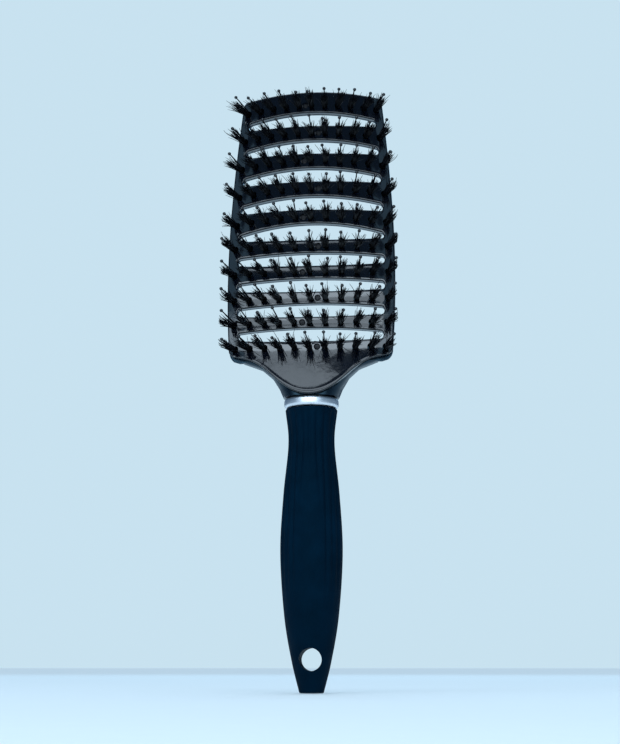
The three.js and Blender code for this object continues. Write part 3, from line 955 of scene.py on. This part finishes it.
def build_ring():
    """Rounded silver ring between the neck and the grip."""
    outer, inner = RING_HIGH[0], RING_INNER
    low, high = RING_LOW[2], RING_HIGH[2]
    turn = RING_ROUND
    profile = [(inner, low), (outer - turn, low)]
    for angle in np.linspace(0, math.pi / 2, 8)[1:]:
        profile.append((outer - turn + turn * math.sin(angle), low + turn * (1 - math.cos(angle))))
    for angle in np.linspace(0, math.pi / 2, 8):
        profile.append((outer - turn + turn * math.cos(angle), high - turn * (1 - math.sin(angle))))
    profile += [(inner, high), (inner, low)]
    vertices, faces = lathe(profile, 160)
    mesh = mesh_of("ring", vertices, faces)
    stands_for(new_object("ring", mesh, silver_finish(), 40), "ring_silver", "collar_ring")


def sleeve_width(z):
    """Half width of the grip at a height, by a smooth curve through its stations."""
    return np.interp(z, SLEEVE_CURVE[:, 1], SLEEVE_CURVE[:, 0])


def smooth_spline(points, steps=24):
    """Catmull-Rom curve through (radius, height) points."""
    p = np.array(points, float)
    p = np.vstack([2 * p[0] - p[1], p, 2 * p[-1] - p[-2]])
    out = []
    for i in range(1, len(p) - 2):
        t = np.linspace(0, 1, steps, endpoint=False)[:, None]
        a, b, c, d = p[i - 1], p[i], p[i + 1], p[i + 2]
        square, cube = 2 * a - 5 * b + 4 * c - d, 3 * b - 3 * c + d - a
        out.append(0.5 * (2 * b + (c - a) * t + square * t**2 + cube * t**3))
    return np.vstack([*out, p[-2:-1]])


SLEEVE_CURVE = smooth_spline(SLEEVE_STATIONS)


def sleeve_ratio(z):
    """Depth over width of the grip, which is round by the ring."""
    return SLEEVE_FLATTENED + SLEEVE_ROUND * ease(z, 60, 104)


def flute_angles(z):
    """Angles of the grooves round the grip, which part a little as it widens."""
    part = ease(z, 104, 60)
    near = np.radians([18.0, 38.0, 60.0, 79.0])
    wide = np.radians([24.0, 34.0, 48.0, 63.0])
    quarter = near + (wide - near) * part
    front = np.concatenate([-quarter[::-1], [0.0], quarter])
    return np.concatenate([front, front + math.pi])


def flute_strengths(z):
    """How deep each groove is; the middle ones fade first to leave a plain panel."""
    middle, beside = ease(z, 82, 98), ease(z, 66, 92)
    front = [1, 1, 1, beside, middle, beside, 1, 1, 1]
    return np.array(front * 2)


def sleeve_ring(z, flute_depth):
    """One level of the grip, with its grooves."""
    grooves = flute_angles(z)
    top = GRIP_HIGH[2]
    depth = flute_depth * ease(z, FLUTES_PLAIN, FLUTES_FULL) * ease(z, top - 0.2, top - 3.0)
    steps = FLUTE_STEPS
    half, ratio = sleeve_width(z), sleeve_ratio(z)
    ends = np.append(grooves[1:], grooves[0] + 2 * math.pi)
    strengths = flute_strengths(z)
    points = []
    for begin, end, first, second in zip(grooves, ends, strengths, np.roll(strengths, -1)):
        u = np.arange(steps) / steps
        warped = u - 0.115 * np.sin(2 * math.pi * u)
        angle = begin + (end - begin) * warped
        arc = half * np.minimum(angle - begin, end - angle)
        strength = np.where(angle - begin < end - angle, first, second)
        groove = depth * strength * np.exp(-((arc / FLUTE_HALF_WIDTH) ** 2))
        points += [
            ((half - g) * math.sin(a), -(half * ratio - g) * math.cos(a), z) for a, g in zip(angle, groove)
        ]
    return points


def build_grip(size):
    """Soft-touch sleeve with soft grooves, hollow for its core, with a hole to hang it by."""
    flute_depth = size.flute_depth / MM
    top, low, end = GRIP_HIGH[2], GRIP_LOW[2], SLEEVE_END_ROUND
    heights = np.concatenate([np.linspace(end, 24, 36), np.linspace(24.6, top - end, 130)])
    outer = [sleeve_ring(z, flute_depth) for z in heights]
    base, rim = np.array(outer[0]), np.array(outer[-1])
    bottom = []
    for angle in np.linspace(0, math.pi / 2, 8)[:-1]:
        width = sleeve_width(low + end)
        scale = (width - end * (1 - math.sin(angle))) / width
        level = base * [scale, scale, 0]
        level[:, 2] = low + end * (1 - math.cos(angle))
        bottom.append(level.tolist())
    crown = []
    for angle in np.linspace(0, math.pi / 2, 6)[1:]:
        scale = 1 - end * (1 - math.cos(angle)) / sleeve_width(top)
        level = rim * [scale, scale, 1]
        level[:, 2] = top - end + end * math.sin(angle)
        crown.append(level.tolist())
    inner = []
    for z in np.linspace(top, CORE_FOOT, 60):
        wall = SLEEVE_WALL / sleeve_width(z)
        plain = np.array(sleeve_ring(z, 0.0))
        inner.append((plain * [1 - wall, 1 - wall / sleeve_ratio(z), 1]).tolist())
    mesh = mesh_of("grip", *loft(bottom + outer + crown + inner))
    piece = new_object("grip", mesh, grip_finish())
    bore = [(0, -12), (HANG_RADIUS, -12), (HANG_RADIUS, 12), (0, 12)]
    subtract(piece, *along(lathe(bore, 72), (0, 0, HANG_Z), OUTWARD))
    smooth(piece.data, 38)
    stands_for(piece, "grip_soft_touch", "grip_sleeve")


def build_frame_finishes():
    """Finishes of the wires and the core, which keep the frame's own meshes."""
    wire = finish("steel_wire", (0.42, 0.42, 0.43), 0.28, 0.04, 4000.0, 0.000004, metallic=1.0)
    core = finish("core_plastic", (0.02, 0.02, 0.022), 0.42, 0.05, 2600.0, 0.00001)
    for name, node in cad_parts.items():
        if name.startswith("draw_wire") or name == "handle_core":
            node.data.materials.clear()
            node.data.materials.append(core if name == "handle_core" else wire)


# ---------------------------------------------------------------- the stage
def area_light(name, azimuth, elevation, distance, width, height, radiance, colour, centre=(0, 0, 0.15)):
    """A soft rectangular light that faces the object, set by its radiance."""
    light = bpy.data.lights.new(name, "AREA")
    light.shape = "RECTANGLE"
    light.size, light.size_y = width, height
    light.energy = radiance * math.pi * width * height
    light.color = colour
    item = bpy.data.objects.new(name, light)
    a, e = math.radians(azimuth), math.radians(elevation)
    back = Vector((math.sin(a) * math.cos(e), -math.cos(a) * math.cos(e), math.sin(e)))
    item.location = Vector(centre) + back * distance
    item.rotation_mode = "QUATERNION"
    item.rotation_quaternion = back.to_track_quat("Z", "Y")
    item.visible_camera = False
    bpy.context.scene.collection.objects.link(item)


def build_stage(colour):
    """Pale floor, pale surroundings and soft lights."""
    far = 9000
    corners = [(-far, -far, 0), (far, -far, 0), (far, far, 0), (-far, far, 0)]
    surface = finish("floor", colour.floor, 0.8, 0.04, 900.0, 0.00001, change=0.006)
    floor = new_object("floor", mesh_of("floor", corners, [(0, 1, 2, 3)]), surface)
    floor.location.z = -0.0002
    world = bpy.data.worlds.new("surroundings")
    bpy.context.scene.world = world
    world.use_nodes = True
    nodes, links = world.node_tree.nodes, world.node_tree.links
    seen = nodes["Background"]
    seen.inputs["Color"].default_value = (0.58, 0.76, 0.87, 1)
    reflected = nodes.new("ShaderNodeBackground")
    reflected.inputs["Color"].default_value = (0.16, 0.30, 0.50, 1)
    reflected.inputs["Strength"].default_value = 0.35
    rays = nodes.new("ShaderNodeLightPath")
    mix = nodes.new("ShaderNodeMixShader")
    links.new(rays.outputs["Is Camera Ray"], mix.inputs["Fac"])
    links.new(reflected.outputs["Background"], mix.inputs[1])
    links.new(seen.outputs["Background"], mix.inputs[2])
    links.new(mix.outputs["Shader"], nodes["World Output"].inputs["Surface"])
    sky = bpy.data.lights.new("sky", "SUN")
    sky.angle = math.radians(76)
    sky.energy = 3.0
    sky.color = (0.70, 0.88, 1.0)
    sky_item = bpy.data.objects.new("sky", sky)
    bpy.context.scene.collection.objects.link(sky_item)
    cool = (0.74, 0.88, 1.0)
    area_light("front_softbox", -5.5, 14.7, 1.2, 1.5, 0.44, 3.7, cool)
    apron = (0, -0.0104, 0.122)
    area_light("apron_high_softbox", -5.5, 42.5, 0.1, 0.12, 0.014, 3.3, cool, apron)
    area_light("apron_low_softbox", -5.5, 30.0, 0.1, 0.12, 0.0135, 3.4, cool, apron)
    blue = (0.42, 0.74, 1.0)
    area_light("left_softbox", -38, 32, 1.2, 0.36, 0.8, 0.75, blue)
    area_light("right_softbox", 27, 32, 1.2, 0.36, 0.8, 0.7, blue)
    area_light("rear_softbox", 180, 30, 1.4, 1.2, 0.5, 1.7, blue)


def build_camera():
    """Camera a little above the floor, looking slightly up at the brush."""
    data = bpy.data.cameras.new("camera")
    data.lens = CAMERA_LENS
    data.sensor_width = 36.0
    camera = bpy.data.objects.new("camera", data)
    bpy.context.scene.collection.objects.link(camera)
    a, pitch = math.radians(CAMERA_AZIMUTH), math.radians(CAMERA_PITCH)
    across, back = CAMERA_DISTANCE * math.sin(a), CAMERA_DISTANCE * math.cos(a)
    camera.location = (across + CAMERA_ASIDE, -back, CAMERA_HEIGHT)
    camera.rotation_mode = "XYZ"
    camera.rotation_euler = (math.pi / 2 + pitch, 0, a)
    bpy.context.scene.camera = camera
    bpy.context.scene.view_settings.view_transform = "Standard"


# ---------------------------------------------------------------- operators
def build_rows(build, size, material):
    """Builds one row of bundles or pins on every bar."""
    for index in range(BARS):
        build(index, size, material)


def build_rivets():
    """Ten rivets, one on each bar."""
    # Near-black with a painted blue cast, standing in for blue bounce light.
    material = finish("rivet_black", (0.0015, 0.002, 0.004), 0.42, 0.05, 2500.0, 0.000004, specular=0.2)
    for index in range(BARS):
        build_rivet(index, material)


class BRUSH_OT_front_plate(bpy.types.Operator):
    """Builds the glossy vented front plate"""

    bl_idname = "brush.front_plate"
    bl_label = "Front plate"

    def execute(self, context):
        build_front_plate(context.scene.brush_sizes)
        return {"FINISHED"}


class BRUSH_OT_back_shell(bpy.types.Operator):
    """Builds the satin back shell and its neck"""

    bl_idname = "brush.back_shell"
    bl_label = "Back shell"

    def execute(self, context):
        build_back_shell()
        return {"FINISHED"}


class BRUSH_OT_boar_rows(bpy.types.Operator):
    """Builds the ten rows of boar bristle bundles"""

    bl_idname = "brush.boar_rows"
    bl_label = "Boar rows"

    def execute(self, context):
        build_rows(build_boar_row, context.scene.brush_sizes, bristle_finish())
        return {"FINISHED"}


class BRUSH_OT_pin_rows(bpy.types.Operator):
    """Builds the ten rows of ball pins"""

    bl_idname = "brush.pin_rows"
    bl_label = "Pin rows"

    def execute(self, context):
        build_rows(build_pin_row, context.scene.brush_sizes, pin_finish())
        return {"FINISHED"}


class BRUSH_OT_rivets(bpy.types.Operator):
    """Builds the ten rivets, one on each bar"""

    bl_idname = "brush.rivets"
    bl_label = "Rivets"

    def execute(self, context):
        build_rivets()
        return {"FINISHED"}


class BRUSH_OT_ring(bpy.types.Operator):
    """Builds the silver ring between neck and grip"""

    bl_idname = "brush.ring"
    bl_label = "Ring"

    def execute(self, context):
        build_ring()
        return {"FINISHED"}


class BRUSH_OT_grip(bpy.types.Operator):
    """Builds the fluted soft-touch sleeve"""

    bl_idname = "brush.grip"
    bl_label = "Grip"

    def execute(self, context):
        build_grip(context.scene.brush_sizes)
        return {"FINISHED"}


class BRUSH_OT_frame_finishes(bpy.types.Operator):
    """Gives the draw wires and the handle core their finishes"""

    bl_idname = "brush.frame_finishes"
    bl_label = "Wires and core"

    def execute(self, context):
        build_frame_finishes()
        return {"FINISHED"}


class BRUSH_OT_stage(bpy.types.Operator):
    """Builds the floor, the lights and the camera"""

    bl_idname = "brush.stage"
    bl_label = "Stage"

    def execute(self, context):
        build_stage(context.scene.brush_colours)
        build_camera()
        return {"FINISHED"}


OPERATORS = [
    BRUSH_OT_front_plate,
    BRUSH_OT_back_shell,
    BRUSH_OT_boar_rows,
    BRUSH_OT_pin_rows,
    BRUSH_OT_rivets,
    BRUSH_OT_ring,
    BRUSH_OT_grip,
    BRUSH_OT_frame_finishes,
    BRUSH_OT_stage,
]


class BRUSH_PT_parts(bpy.types.Panel):
    """Lists the building steps of the brush"""

    bl_label = "Vented brush"
    bl_idname = "BRUSH_PT_parts"
    bl_space_type = "VIEW_3D"
    bl_region_type = "UI"
    bl_category = "Brush"

    def draw(self, context):
        for step in OPERATORS:
            self.layout.operator(step.bl_idname)


CLASSES = [BrushSizes, BrushColours, *OPERATORS, BRUSH_PT_parts]


def register():
    for item in CLASSES:
        bpy.utils.register_class(item)
    bpy.types.Scene.brush_sizes = bpy.props.PointerProperty(type=BrushSizes)
    bpy.types.Scene.brush_colours = bpy.props.PointerProperty(type=BrushColours)


def unregister():
    del bpy.types.Scene.brush_colours
    del bpy.types.Scene.brush_sizes
    for item in reversed(CLASSES):
        bpy.utils.unregister_class(item)


def main():
    register()
    for step in OPERATORS:
        getattr(bpy.ops.brush, step.bl_idname.split(".")[1])()


if __name__ == "__main__":
    main()
